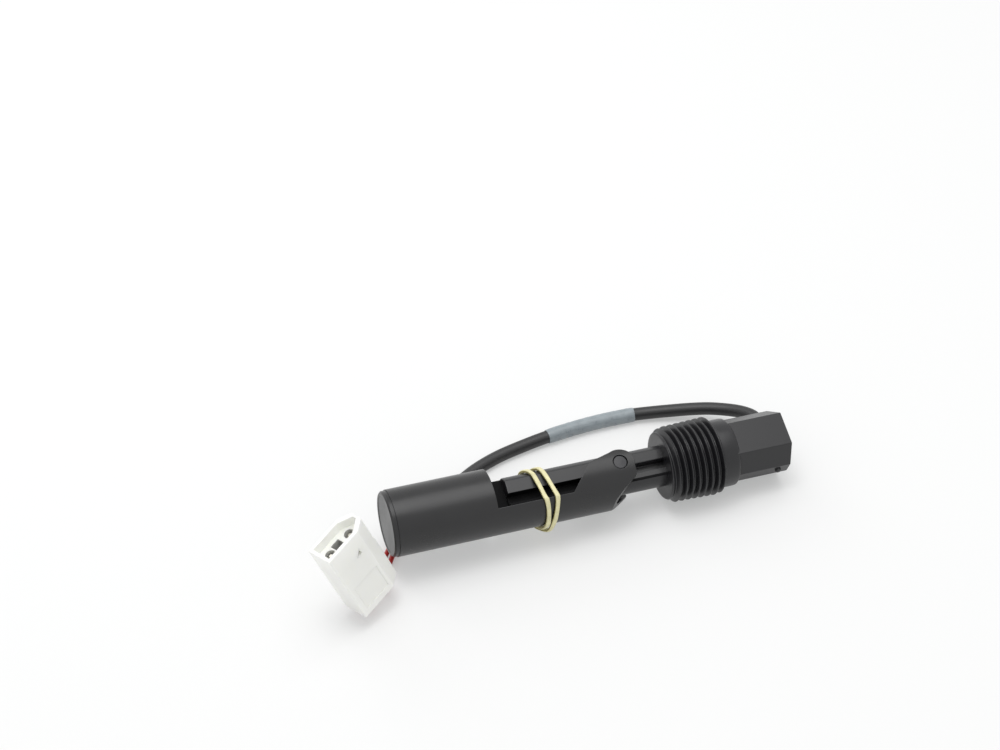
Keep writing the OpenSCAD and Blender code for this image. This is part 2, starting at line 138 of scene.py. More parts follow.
# Every plastic here has this skin: broad soft patches shift its colour and its roughness, and
# a fine grain shifts the roughness a little more and stands up as relief.
noise_middle, grain_on_roughness = 0.5, 0.12
skin = bpy.data.node_groups.new("plastic_skin", "ShaderNodeTree")
given, made = add_sockets(
    skin,
    [("Grain per m", "NodeSocketFloat", 4000.0), ("Patches per m", "NodeSocketFloat", 160.0),
     ("Contrast", "NodeSocketFloat", 0.12), ("Roughness", "NodeSocketFloat", 0.5),
     ("Colour", "NodeSocketColor", (0.5, 0.5, 0.5, 1))],
    [("Colour", "NodeSocketColor"), ("Roughness", "NodeSocketFloat"),
     ("Height", "NodeSocketFloat")])
place = add_node(skin, "ShaderNodeTexCoord").outputs["Object"]
grain = add_node(skin, "ShaderNodeTexNoise", [
    ("Vector", place), ("Scale", given["Grain per m"]), ("Detail", 3.0)]).outputs[0]
patch = add_node(skin, "ShaderNodeTexNoise", [
    ("Vector", place), ("Scale", given["Patches per m"]), ("Detail", 4.0),
    ("Roughness", 0.6)]).outputs[0]
swing = math_node(skin, "MULTIPLY", math_node(skin, "SUBTRACT", patch, noise_middle),
                  given["Contrast"])
tone = math_node(skin, "ADD", math_node(skin, "MULTIPLY", swing, 2.0), 1.0)
skin.links.new(scaled_colour(skin, given["Colour"], tone), made["Colour"])
fine = math_node(skin, "MULTIPLY", math_node(skin, "SUBTRACT", grain, noise_middle),
                 grain_on_roughness)
rough = math_node(skin, "ADD", given["Roughness"], swing)
skin.links.new(math_node(skin, "ADD", rough, fine), made["Roughness"])
skin.links.new(grain, made["Height"])

# Every moulded edge has a small round, and its colour is lifted there: a painted highlight along
# the edge.
highlight_per_turn = 6.0
edge = bpy.data.node_groups.new("moulded_edge", "ShaderNodeTree")
given, made = add_sockets(
    edge,
    [("Radius", "NodeSocketFloat", 0.0002), ("Lift", "NodeSocketFloat", 0.3),
     ("Colour", "NodeSocketColor", (0.5, 0.5, 0.5, 1))],
    [("Colour", "NodeSocketColor"), ("Normal", "NodeSocketVector")])
bevel = add_node(edge, "ShaderNodeBevel", [("Radius", given["Radius"])], samples=6)
flat = add_node(edge, "ShaderNodeNewGeometry").outputs["Normal"]
turn = add_node(edge, "ShaderNodeVectorMath", [(0, bevel.outputs[0]), (1, flat)],
                operation="DOT_PRODUCT").outputs["Value"]
edge_highlight = math_node(edge, "MULTIPLY", math_node(edge, "SUBTRACT", 1.0, turn), given["Lift"])
highlight_tone = math_node(edge, "ADD", math_node(edge, "MULTIPLY", edge_highlight, highlight_per_turn), 1.0)
edge.links.new(scaled_colour(edge, given["Colour"], highlight_tone), made["Colour"])
edge.links.new(bevel.outputs[0], made["Normal"])


def plastic(name, colour, roughness, contrast=0.12, grain=4000.0, patches=160.0,
            bump=0.000004, radius=0.0002, lift=0.3, **constants):
    """A plastic with the shared skin and edge; constants go on the shader's own sockets."""
    material = bpy.data.materials.new(name)
    material.use_nodes = True
    tree = material.node_tree
    shader = tree.nodes["Principled BSDF"]
    surface = add_node(tree, "ShaderNodeGroup", [
        ("Grain per m", grain), ("Patches per m", patches), ("Contrast", contrast),
        ("Roughness", roughness), ("Colour", (*colour, 1))], node_tree=skin)
    rim = add_node(tree, "ShaderNodeGroup", [
        ("Colour", surface.outputs["Colour"]), ("Radius", radius), ("Lift", lift)],
        node_tree=edge)
    relief = add_node(tree, "ShaderNodeBump", [
        ("Height", surface.outputs["Height"]), ("Normal", rim.outputs["Normal"]),
        ("Distance", bump), ("Strength", 1.0)])
    tree.links.new(rim.outputs["Colour"], shader.inputs["Base Color"])
    tree.links.new(surface.outputs["Roughness"], shader.inputs["Roughness"])
    tree.links.new(relief.outputs[0], shader.inputs["Normal"])
    for socket, value in constants.items():
        shader.inputs[socket.replace("_", " ")].default_value = value
    return material


black_pvc = plastic("black_pvc", (0.017, 0.017, 0.018), 0.45, contrast=0.15, grain=2500.0,
                    bump=0.000006, radius=0.0001, lift=0.1)
cable = laid_line("cable", cable_route, cable_d, black_pvc)
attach(cable, "stem_body")
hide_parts("cable_jacket")


# Lead wires. Two red wires come out of the cable's end under the float and run over the table
# into the back of the plug, where each is crimped in its contact.
wire_d = 0.0013
wire_routes = {
    "lead_wire_a": [
        (-48.8, 7.9, 1.8), (-49.9, 7.1, 1.8), (-51.4, 5.8, 1.6), (-54.2, 2.8, 1.1),
        (-57, -1, 0.8), (-59.4, -5, 0.7), (-61.7, -9.4, 0.7), (-63.6, -12.8, 0.8),
        (-64.7, -14.4, 1.3), (-65.4, -15.2, 2.5), (-65.9, -15.3, 4), (-67.3, -15.1, 7.8)],
    "lead_wire_b": [
        (-48, 6.8, 1.8), (-49.1, 6, 1.8), (-50.2, 5, 1.7), (-52.2, 2.6, 1.3),
        (-54.7, -1, 0.9), (-56.7, -4.6, 0.7), (-58.2, -8, 0.8), (-58.8, -9.9, 1.3),
        (-59.2, -11.2, 2.6), (-59.5, -11.7, 4.2), (-60, -11.7, 6), (-61.3, -11.5, 9.6)]}


def dress(node, material):
    """Gives a CAD node that stays in view its material."""
    nodes[node].data.materials.clear()
    nodes[node].data.materials.append(material)


red_pvc = plastic("red_pvc", (0.42, 0.02, 0.016), 0.35, contrast=0.06, bump=0.000003,
                  lift=0.05)
for node, route in wire_routes.items():
    wire = laid_line(f"{node}_laid", route, wire_d, red_pvc)
    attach(wire, "stem_body")
    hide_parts(node)
dress("core_wire_a", red_pvc)
dress("core_wire_b", red_pvc)


# Marking sleeve. A thin grey plastic tube is shrunk on the cable along its back run. It
# thins to a lip at each end, and its wall is slightly wavy where it drew in.
sleeve_wall = 0.00025
sleeve_bite = 0.00002
sleeve_first, sleeve_last = 10, 14
sleeve_steps, sleeve_sides = 48, 40
sleeve_lip, sleeve_wave = [0.55, 0.85, 1.0], 0.12


def spline_point(points, runs, u):
    """The point of a smooth path at u, counted in points from its start."""
    i = min(int(u), len(points) - 2)
    t = u - i
    return ((2 * t**3 - 3 * t**2 + 1) * points[i] + (t**3 - 2 * t**2 + t) * runs[i]
            + (3 * t**2 - 2 * t**3) * points[i + 1] + (t**3 - t**2) * runs[i + 1])


def sleeve_radius(step):
    """Outer radius of the sleeve at a step along it."""
    from_end = min(step, sleeve_steps - step)
    if from_end < len(sleeve_lip):
        return cable_d / 2 + sleeve_wall * sleeve_lip[from_end]
    wave = sleeve_wave * math.sin(step * 1.7) * math.sin(step * 0.37)
    return cable_d / 2 + sleeve_wall * (1 + wave)


def tube_rings(points, radii, sides):
    """Rings of a round tube along points, each square to the run there."""
    rings = []
    for point, run, radius in zip(points, path_tangents(points), radii):
        across = run.cross(Vector((0, 0, 1))).normalized()
        up = across.cross(run).normalized()
        rings.append([point + radius * (math.cos(a) * across + math.sin(a) * up)
                      for a in (2 * math.pi * k / sides for k in range(sides))])
    return rings


def ring_mesh(name, rings, closed=False, caps=False):
    """A mesh from equal rings of points; closed joins the last ring to the first."""
    sides = len(rings[0])
    faces = []
    for i in range(len(rings) if closed else len(rings) - 1):
        a, b = i * sides, (i + 1) % len(rings) * sides
        faces += [(a + k, a + (k + 1) % sides, b + (k + 1) % sides, b + k)
                  for k in range(sides)]
    if caps:
        last = (len(rings) - 1) * sides
        faces += [tuple(range(sides))[::-1], tuple(range(last, last + sides))]
    mesh = bpy.data.meshes.new(name)
    mesh.from_pydata([p for ring in rings for p in ring], [], faces)
    shape = bmesh.new()
    shape.from_mesh(mesh)
    bmesh.ops.recalc_face_normals(shape, faces=shape.faces)
    shape.to_mesh(mesh)
    shape.free()
    return mesh


def show_mesh(name, mesh, material, sharp=35, flats=False):
    """Puts a mesh in the scene, smooth below sharp degrees; flats keeps big faces plane."""
    for face in mesh.polygons:
        face.use_smooth = True
    mesh.set_sharp_from_angle(angle=math.radians(sharp))
    mesh.materials.clear()
    mesh.materials.append(material)
    thing = bpy.data.objects.new(name, mesh)
    bpy.context.scene.collection.objects.link(thing)
    if flats:
        thing.modifiers.new("flats", "WEIGHTED_NORMAL").keep_sharp = True
        thing.data = bpy.data.meshes.new_from_object(
            thing.evaluated_get(bpy.context.evaluated_depsgraph_get()))
        thing.modifiers.clear()
    return thing


path = [Vector(p) / 1000 for p in cable_route]
path_runs = path_tangents(path)
sleeve_path = [
    spline_point(path, path_runs, sleeve_first + (sleeve_last - sleeve_first) * k / sleeve_steps)
    for k in range(sleeve_steps + 1)]
outer_radii = [sleeve_radius(k) for k in range(sleeve_steps + 1)]
inner_radii = [cable_d / 2 - sleeve_bite] * (sleeve_steps + 1)
sleeve_rings = (tube_rings(sleeve_path, outer_radii, sleeve_sides)
                + tube_rings(sleeve_path, inner_radii, sleeve_sides)[::-1])
grey_sleeve = plastic("grey_sleeve", (0.25, 0.285, 0.305), 0.32, contrast=0.35, patches=420.0,
                      radius=0.0001, lift=0.1)
sleeve = show_mesh("marking_sleeve", ring_mesh("marking_sleeve", sleeve_rings, closed=True),
                   grey_sleeve)
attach(sleeve, "stem_body")
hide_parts("marker_sleeve")


# Pipe thread and collar. The front of the moulded body is a tapered pipe thread, whose single
# start runs out into a plain round collar. The body is moulded in satin black plastic.
lay = (Matrix.Translation((0.007728, 0, 0.011713)) @ Matrix.Rotation(math.radians(2.3), 4, "Y")
       @ Matrix.Rotation(math.radians(-70), 4, "X")
       @ Matrix.Diagonal((0.001, 0.001, 0.001, 1)))
thread_r, thread_pitch, thread_depth, thread_turns, thread_taper = 10.67, 1.814, 1.42, 7.6, 32.0
crest_slope, crest_sink = 1.35, 0.2
face_x, face_r, chamfer = 13.2, 9.18, 0.25
lead_len, lead_rise, lead_start = 1.6, 1.9, 0.25
runout, runout_crest = 0.9, 0.25
thread_end = face_x + lead_len + thread_turns * thread_pitch
collar_r, collar_end, body_end = 9.2, 33.0, 47.9
turned_sides, pitch_samples = 128, 20


def keep(thing, body, slot, *stands_for):
    """Names what a new piece rides on and the CAD nodes that it stands for; slot is not used."""
    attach(thing, body)
    if stands_for:
        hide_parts(*stands_for)
    return thing


def laid_mesh(name, rings, closed=False, caps=False):
    """A ring mesh drawn in the switch's own frame in mm, laid on the table."""
    mesh = ring_mesh(name, [[Vector(p) for p in ring] for ring in rings], closed, caps)
    mesh.transform(lay)
    return mesh


def turned(profile):
    """Rings of a shape turned round the switch's axis, from (x, radius) pairs."""
    turns = [2 * math.pi * k / turned_sides for k in range(turned_sides)]
    return [[(x, r * math.cos(a), r * math.sin(a)) for a in turns] for x, r in profile]


def share_of(value):
    return min(1.0, max(0.0, value))


def thread_radius(x, turn):
    """Radius of the thread's surface at x, where turn is the share of a turn round the axis."""
    envelope = thread_r - (thread_end - x) / thread_taper
    phase = ((x - face_x - lead_len) / thread_pitch - turn) % 1.0
    away = abs(phase - 0.5) * 2
    crest = share_of((1 - away) * crest_slope - crest_sink)
    grow = share_of((x - face_x - chamfer) / lead_rise + lead_start)
    fade = share_of((thread_end - x) / runout)
    root = envelope - thread_depth
    base = root + (collar_r - root) * (1 - fade) if x > thread_end - runout else root
    height = runout_crest + (1 - runout_crest) * fade
    return base + (envelope - base) * crest * grow * height


def thread_ring(row):
    """One ring of the helix, which goes forward by a pitch in a turn, held within the ends."""
    ring = []
    for k in range(turned_sides):
        turn = k / turned_sides
        x = face_x + (row / pitch_samples + turn) * thread_pitch
        x = min(max(x, face_x + chamfer), thread_end)
        r = thread_radius(x, turn)
        a = 2 * math.pi * turn
        ring.append((x, r * math.cos(a), r * math.sin(a)))
    return ring


thread_rows = int((thread_end - face_x) / thread_pitch * pitch_samples)
thread_rings = [thread_ring(i) for i in range(-pitch_samples, thread_rows + pitch_samples + 1)]
thread_rings[0] = [(x, face_r * y / math.hypot(y, z), face_r * z / math.hypot(y, z))
                   for x, y, z in thread_rings[0]]
face_rings = turned([(face_x, 0.4), (face_x, 4.0), (face_x, 8.2), (face_x, 8.85),
                     (face_x + 0.06, 9.05)])
collar_rings = turned([
    (thread_end, collar_r), (thread_end + 0.8, collar_r), (collar_end - 0.9, collar_r),
    (collar_end - 0.45, collar_r - 0.09), (collar_end - 0.12, collar_r - 0.38),
    (collar_end, collar_r - 0.8), (collar_end, 6.2)])
thread_mesh = laid_mesh("pipe_thread", face_rings + thread_rings + collar_rings)
# The helix's rings bunch up at both ends, where they are held.
shape = bmesh.new()
shape.from_mesh(thread_mesh)
bmesh.ops.remove_doubles(shape, verts=shape.verts, dist=1e-7)
bmesh.ops.dissolve_degenerate(shape, edges=shape.edges, dist=1e-8)
bmesh.ops.recalc_face_normals(shape, faces=shape.faces)
shape.to_mesh(thread_mesh)
shape.free()
body_plastic = plastic("body_plastic", (0.008, 0.008, 0.0095), 0.33, contrast=0.10, lift=1.6,
                       IOR=1.5)
keep(show_mesh("pipe_thread", thread_mesh, body_plastic, 89), "stem_body", "body",
     "switch_body")


# Hexagon. A wrench hexagon ends the body, with a round pocket for the potting. One corner is
# planed to a flat with a raised dot on the side the float swings to, and the cable leaves
# through a round outlet in the far flat.
hex_af = 16.1
hex_corner = hex_af / 2 / math.cos(math.radians(30))
hex_overlap, hex_edge = 0.8, 0.16
mark_flat = 4.0
mark_z = -hex_corner + mark_flat / 2 / math.tan(math.radians(60))
mark_x = body_end - 3.2
dot_profile = ((0.85, 0.2), (0.85, -0.3), (0.78, -0.5), (0.5, -0.68), (0.02, -0.72))
dot_sides = 32
pocket_r, pocket_deep = 5.6, 13.4
outlet_r, outlet_x = 2.0, body_end - 3.3
outlet_inner, outlet_outer = (1.5, 2.6), (5.0, 8.66)
past = 1


def prism(name, outline, x0, x1, rounding, segments=3):
    """A straight bar along the switch from a closed (y, z) outline, with its edges rounded."""
    n = len(outline)
    corners = [(x0, y, z) for y, z in outline] + [(x1, y, z) for y, z in outline]
    ends = [tuple(range(n)), tuple(range(2 * n - 1, n - 1, -1))]
    sides = [(k, k + n, (k + 1) % n + n, (k + 1) % n) for k in range(n)]
    mesh = bpy.data.meshes.new(name)
    mesh.from_pydata(corners, [], ends + sides)
    shape = bmesh.new()
    shape.from_mesh(mesh)
    bmesh.ops.recalc_face_normals(shape, faces=shape.faces)
    if rounding:
        sharp = [e for e in shape.edges if e.calc_face_angle(0) > math.radians(25)]
        bmesh.ops.bevel(shape, geom=sharp, offset=rounding, segments=segments, profile=0.5,
                        affect="EDGES", clamp_overlap=True)
    shape.to_mesh(mesh)
    shape.free()
    return mesh


def rod(radius, start, end, sides=64):
    """A plain round bar between two points, all in mm."""
    a, b = Vector(start), Vector(end)
    mesh = bpy.data.meshes.new("rod")
    shape = bmesh.new()
    bmesh.ops.create_cone(shape, cap_ends=True, segments=sides, radius1=radius,
                          radius2=radius, depth=(b - a).length)
    shape.to_mesh(mesh)
    shape.free()
    turn = (b - a).to_track_quat("Z", "Y").to_matrix().to_4x4()
    mesh.transform(Matrix.Translation((a + b) / 2) @ turn)
    return mesh


def combined(mesh, others, operation="DIFFERENCE"):
    """mesh with the others cut away from it or joined to it."""
    host = bpy.data.objects.new("host", mesh)
    bpy.context.scene.collection.objects.link(host)
    extras = []
    for other in others:
        extra = bpy.data.objects.new("extra", other)
        bpy.context.scene.collection.objects.link(extra)
        extras.append(extra)
        cut = host.modifiers.new("cut", "BOOLEAN")
        cut.operation, cut.solver, cut.object = operation, "EXACT", extra
    result = bpy.data.meshes.new_from_object(
        host.evaluated_get(bpy.context.evaluated_depsgraph_get()))
    for thing in [host, *extras]:
        bpy.data.objects.remove(thing)
    return result


corner_angles = [math.radians(60 * k) for k in range(6) if k != 3]
hexagon = [(hex_corner * math.sin(a), hex_corner * math.cos(a)) for a in corner_angles]
hexagon[3:3] = [(mark_flat / 2, mark_z), (-mark_flat / 2, mark_z)]
hexagon_mesh = combined(
    prism("hexagon", hexagon, collar_end - hex_overlap, body_end, hex_edge),
    [rod(pocket_r, (body_end - pocket_deep, 0, 0), (body_end + past, 0, 0), 96),
     rod(outlet_r, (outlet_x, *outlet_inner), (outlet_x, *outlet_outer))])
hexagon_mesh.transform(lay)
keep(show_mesh("hexagon", hexagon_mesh, body_plastic, 32, flats=True), "stem_body", "body",
     "switch_body")

dot_rings = [[(mark_x + r * math.cos(a), r * math.sin(a), mark_z + drop)
              for a in (2 * math.pi * k / dot_sides for k in range(dot_sides))]
             for r, drop in dot_profile]
keep(show_mesh("swing_mark", laid_mesh("swing_mark", dot_rings, caps=True), body_plastic),
     "stem_body", "body", "switch_body")


# Stem. A slim bar of the same plastic carries the reed inside it. It has a groove along each
# side, two round hubs for the hinge pins, and a thin web that goes on past its end.
stem_end, stem_root, stem_r, stem_w = -30.5, face_x + 0.4, 5.5, 9.0
stem_edge, arc_steps = 0.22, 14
groove_low, groove_high, groove_deep, rail_w = -2.9, 0.3, 2.7, 7.4
groove_back = stem_w / 2 - groove_deep
web_half = 0.9
web_corners = ((-33.8, 5.15), (-33.8, -4.4), (-30.2, -4.6), (-30.2, 5.15))
hub_r, hub_half = 3.3, 6.2
trough_start, trough_end, web_start = -3, -30.4, -30.8
low_side_low, low_side_high = -4.2, -0.4
# Bars narrow the groove: the upper one lies over the float's trough, the lower one at the
# thread. Each is (half width, lowest, highest, x from, x to).
groove_bars = ((stem_w / 2, -0.45, 0.6, stem_end, -3.5),
               (rail_w / 2, -3.5, -2.1, -3.5, stem_root))


def stem_outline():
    """Closed (y, z) section: a wide round rail on top, a groove a side, a narrow rail."""
    half, low_half = stem_w / 2, rail_w / 2
    arcs = []
    for way, width in ((1, half), (-1, low_half)):
        corner = math.asin(width / stem_r)
        arcs.append([(stem_r * math.sin(a), way * stem_r * math.cos(a))
                     for a in (-corner + 2 * corner * k / arc_steps
                               for k in range(arc_steps + 1))])
    top, bottom = arcs
    right = [(half, groove_high), (groove_back, groove_high), (groove_back, groove_low),
             (low_half, groove_low)]
    return top + right + bottom[::-1] + [(-y, z) for y, z in right[::-1]]


def in_painted_shade(spot):
    """Whether a place on the stem gets painted shade: the groove, the low sides and the web."""
    slack = 0.1
    in_groove = (spot.x < trough_start and abs(spot.y) < groove_back + slack
                 and groove_low - slack < spot.z < groove_high + slack)
    on_low_side = (trough_end < spot.x < trough_start and abs(spot.y) > web_half + slack
                   and low_side_low < spot.z < low_side_high)
    return in_groove or on_low_side or spot.x < web_start


web = bpy.data.meshes.new("web")
web.from_pydata(
    [(x, y, z) for y in (-web_half, web_half) for x, z in web_corners], [],
    [(0, 1, 2, 3), (7, 6, 5, 4), (0, 4, 5, 1), (1, 5, 6, 2), (2, 6, 7, 3), (3, 7, 4, 0)])
bars = [prism("groove_bar", [(-y, low), (y, low), (y, high), (-y, high)], x0, x1, 0)
        for y, low, high, x0, x1 in groove_bars]
stem_mesh = combined(
    prism("stem", stem_outline(), stem_end, stem_root, stem_edge),
    [rod(hub_r, (0, -hub_half, 0), (0, hub_half, 0), 80), web, *bars], "UNION")
stem_mesh.transform(lay)
stem = keep(show_mesh("stem", stem_mesh, body_plastic, 32, flats=True), "stem_body", "body",
            "switch_body")
# The groove, the low sides and the web past the stem's end take a near-black, dull plastic:
# painted shade.
stem.data.materials.append(plastic("stem_painted_shade", (0.004, 0.004, 0.0045), 0.7,
                                   Specular_IOR_Level=0.12))
for face in stem.data.polygons:
    face.material_index = int(in_painted_shade(lay.inverted() @ face.center))


# Hinge pins. Two round plastic pins sit in the hubs, and their ends are flush in the float's
# ears with a fine dark gap round each.
pin_plastic = plastic("pin_plastic", (0.022, 0.022, 0.025), 0.42, contrast=0.08, lift=1.0)
dress("pivot_pins", pin_plastic)


# Float. A hollow moulded cylinder with a trough that the stem lies in and two ears on the
# hinge pins. Its tail is closed by a welded cap, and a magnet sits in a pocket behind the step.
float_plastic = plastic("float_plastic", (0.011, 0.011, 0.0118), 0.32, contrast=0.3,
                        patches=90.0, lift=1.6, IOR=1.5)
dress("float_shell", float_plastic)
dress("float_cap", float_plastic)
dress("float_magnet", plastic("magnet_black", (0.03, 0.03, 0.033), 0.55, contrast=0.2))


# Rubber band. One loop of pale natural rubber is wound twice round the float and the stem and
# holds the switch shut. Its two strands bow apart and cross under the float, and their narrow
# sides are painted darker, as shade.
band_thick, band_wide, band_wave = 0.95, 1.2, 0.06
belly_r, back_r = 8.9 + 0.55, 5.5 + 0.55
belly_arc, back_arc = (215, 325), (35, 145)
band_steps, band_sides, band_squareness = 288, 14, 0.6
shaded_sides = (6, 13)
smoothing = [2.5 * k for k in range(-4, 5)]
# The winding closes after two turns: (degrees, x, lift over the other strand). The strand that
# starts at the left on the far side comes back at the right, and crosses over at its end.
band_knots = [
    (0, -24.4, 0), (60, -24.6, 0), (100, -24.4, 0), (120, -23.5, 0), (150, -22.8, 0),
    (180, -22.3, 0), (210, -22.1, 0), (225, -21.7, 0), (270, -21.6, 0), (300, -22.1, 0),
    (340, -22.3, 0), (420, -22.2, 0), (460, -21.4, 0), (480, -20.4, 0), (510, -20.0, 0),
    (540, -19.3, 0), (570, -18.8, 0), (585, -19.05, 0), (600, -19.5, 0), (630, -20.1, 0.1),
    (645, -20.3, 0.6), (655, -20.5, 1.05), (665, -20.8, 1.05), (675, -21.4, 1.05),
    (686, -22.4, 1.05), (696, -23.5, 1.05), (706, -24.2, 0.3), (713, -24.4, 0),
    (720, -24.4, 0)]


def on_circle(radius, degrees):
    return radius * math.cos(math.radians(degrees)), radius * math.sin(math.radians(degrees))


def band_section(a):
    """Place (y, z) of the band's middle, at a degrees round the switch from +Y to +Z."""
    a %= 360
    if belly_arc[0] <= a <= belly_arc[1]:
        return on_circle(belly_r, a)
    if back_arc[0] <= a <= back_arc[1]:
        return on_circle(back_r, a)
    if back_arc[1] < a < belly_arc[0]:
        (ra, start), (rb, stop) = (back_r, back_arc[1]), (belly_r, belly_arc[0])
    else:
        (ra, start), (rb, stop) = (belly_r, belly_arc[1] - 360), (back_r, back_arc[0])
        a = a if a < belly_arc[1] else a - 360
    share = (a - start) / (stop - start)
    share = share * share * (3 - 2 * share)
    pa, pb = on_circle(ra, start), on_circle(rb, stop)
    return pa[0] + (pb[0] - pa[0]) * share, pa[1] + (pb[1] - pa[1]) * share


def band_value(a, column):
    """The winding's x (1) or lift (2) at a degrees, smoothed over twenty degrees."""
    total = 0.0
    for b in ((a + shift) % 720 for shift in smoothing):
        p, q = next(pair for pair in zip(band_knots, band_knots[1:])
                    if pair[0][0] <= b <= pair[1][0])
        total += p[column] + (q[column] - p[column]) * (b - p[0]) / (q[0] - p[0])
    return total / len(smoothing)


def band_ring(step):
    """The band's section, a flat round-cornered strip, at a step of its two turns."""
    a = 720 * step / band_steps
    y, z = band_section(a)
    r = math.hypot(y, z)
    ahead, behind = band_section(a + 1.0), band_section(a - 1.0)
    run = Vector((0.0, ahead[0] - behind[0], ahead[1] - behind[1])).normalized()
    slope = (band_value(a + 2, 1) - band_value(a - 2, 1)) / math.radians(4) / r
    out = Vector((0.0, y / r, z / r))
    out = (out - out.dot(run) * run).normalized()
    run = (run + Vector((slope, 0, 0))).normalized()
    side = run.cross(out).normalized()
    middle = Vector((band_value(a, 1), y, z)) + out * band_value(a, 2)
    wide = band_wide * (1 + band_wave * math.sin(step * 0.31))
    ring = []
    for k in range(band_sides):
        t = 2 * math.pi * (k + 0.5) / band_sides
        c, s = math.cos(t), math.sin(t)
        ring.append(tuple(
            middle + side * (wide / 2 * math.copysign(abs(c) ** band_squareness, c))
            + out * (band_thick / 2 * math.copysign(abs(s) ** band_squareness, s))))
    return ring


band_rings = [band_ring(i) for i in range(band_steps)]
pale_rubber = plastic("pale_rubber", (0.70, 0.66, 0.39), 0.5, contrast=0.3, grain=1500.0,
                      patches=500.0, bump=0.00002, radius=0.0001, lift=0.2)
band = show_mesh("rubber_band_wound", laid_mesh("rubber_band_wound", band_rings, closed=True),
                 pale_rubber, 60)
# The narrow sides of the strip are painted a darker olive: painted shade on the sides that turn
# from the light.
band.data.materials.append(plastic("rubber_side_shade", (0.30, 0.26, 0.09), 0.6, contrast=0.3,
                                   patches=500.0))
for i, face in enumerate(band.data.polygons):
    face.material_index = int(i % band_sides in shaded_sides)
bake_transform(band)
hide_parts("rubber_band")


# Reed switch. A green glass reed with two nickel-iron blades lies in the stem's bore. One lead
# runs back beside it in a white sleeve, and both are soldered to the red cores in the potting.
def metal(name, colour, roughness, grain=3000.0):
    return plastic(name, colour, roughness, contrast=0.1, grain=grain, bump=0.000002,
                   radius=0.0001, lift=0.0, Metallic=1.0)


reed_glass = plastic("reed_glass", (0.55, 0.8, 0.66), 0.08, contrast=0.02, bump=0.0, lift=0.0,
                     IOR=1.5, Transmission_Weight=0.85)
reed_metal = metal("reed_metal", (0.62, 0.62, 0.64), 0.3)
dress("reed_glass", reed_glass)
dress("reed_blade_front", reed_metal)
dress("reed_blade_rear", reed_metal)
dress("return_sleeve", plastic("white_sleeve", (0.75, 0.75, 0.70), 0.45))
dress("solder_joints", metal("solder", (0.66, 0.67, 0.69), 0.38, 1200.0))
dress("potting_fill", plastic("black_epoxy", (0.02, 0.02, 0.022), 0.22, contrast=0.08,
                              grain=900.0, bump=0.00002))


# Plug. A free two-way housing moulded in milky natural nylon. Its open shroud has two keyed
# corners, each big face has a shallow panel and a small catch recess, and two contacts stand
# inside it.
plug_w, plug_t, plug_len, plug_wall = 14.6, 8.0, 24.0, 1.0
key_w, key_t = 3.8, 2.4
plug_top = plug_len / 2
mouth_floor = plug_top - 2.6
contact_places, contact_bore_r = (-4.4, 2.8), 1.4
latch_low, latch_high, latch_deep = (-2.6, -1.1), (0.1, 1.6), 6
notch_deep, notch_half, notch_from = 0.4, 3, 3.4
panel_deep, panel_low, panel_high = 0.15, (-5.6, -plug_top + 2.2), (2.6, -1.5)
catch_deep, catch_corners = 1.0, [(-0.4, 5.3), (1.4, 5.5), (1.2, 7.2)]
plug_lay = (Matrix.Translation((-0.0664, -0.0125, 0.0165))
            @ Matrix.Rotation(math.radians(31.3), 4, "Z")
            @ Matrix.Rotation(math.radians(-15.7), 4, "Y")
            @ Matrix.Rotation(math.radians(-12.8), 4, "X")
            @ Matrix.Diagonal((0.001, 0.001, 0.001, 1)))


def plug_block(low, high, inset=0.0, rounding=0.25):
    """The housing's keyed outline between two heights, drawn back by inset, edges rounded."""
    w, t = plug_w / 2 - inset, plug_t / 2 - inset
    outline = [(-w, -t), (w - key_w, -t), (w, -t + key_t), (w, t - key_t), (w - key_w, t),
               (-w, t)]
    mesh = prism("plug_block", outline, low, high, rounding)
    mesh.transform(Matrix(((0, 1, 0, 0), (0, 0, 1, 0), (1, 0, 0, 0), (0, 0, 0, 1))))
    return mesh


def block(low, high):
    """A plain box between two corners, all in mm."""
    mesh = bpy.data.meshes.new("block")
    shape = bmesh.new()
    bmesh.ops.create_cube(shape, size=1)
    shape.to_mesh(mesh)
    shape.free()
    a, b = Vector(low), Vector(high)
    mesh.transform(Matrix.Translation((a + b) / 2) @ Matrix.Diagonal((*(b - a), 1)))
    return mesh


def into_face(side, depth):
    """The y range of a cutter that goes this deep into one big face, lower end first."""
    return sorted((side * (plug_t / 2 - depth), side * (plug_t / 2 + past)))


cutters = [
    plug_block(mouth_floor, plug_top + past, plug_wall, 0),
    block((*latch_low, mouth_floor - latch_deep), (*latch_high, mouth_floor + past)),
    block((plug_w / 2 - notch_deep, -notch_half, notch_from),
          (plug_w / 2 + past, notch_half, plug_top + past))]
for x in contact_places:
    cutters.append(rod(contact_bore_r, (x, 0, -plug_top - past), (x, 0, plug_top), 40))
for side in (-1, 1):
    y0, y1 = into_face(side, panel_deep)
    cutters.append(block((panel_low[0], y0, panel_low[1]), (panel_high[0], y1, panel_high[1])))
    y0, y1 = into_face(-side, catch_deep)
    catch = prism("catch", catch_corners, y0, y1, 0)
    catch.transform(Matrix(((0, 1, 0, 0), (-1, 0, 0, 0), (0, 0, 1, 0), (0, 0, 0, 1))))
    cutters.append(catch)
plug_mesh = combined(plug_block(-plug_top, plug_top), cutters)
plug_mesh.transform(plug_lay)
nylon = plastic("natural_nylon", (0.89, 0.895, 0.85), 0.32, contrast=0.03, grain=2500.0,
                bump=0.000003, radius=0.0003, lift=0.0, Subsurface_Weight=0.6,
                Subsurface_Radius=(1.0, 1.0, 0.9), Subsurface_Scale=0.003)
plug = keep(show_mesh("plug_housing_moulded", plug_mesh, nylon, 32, flats=True), "stem_body",
            "nylon", "plug_housing")


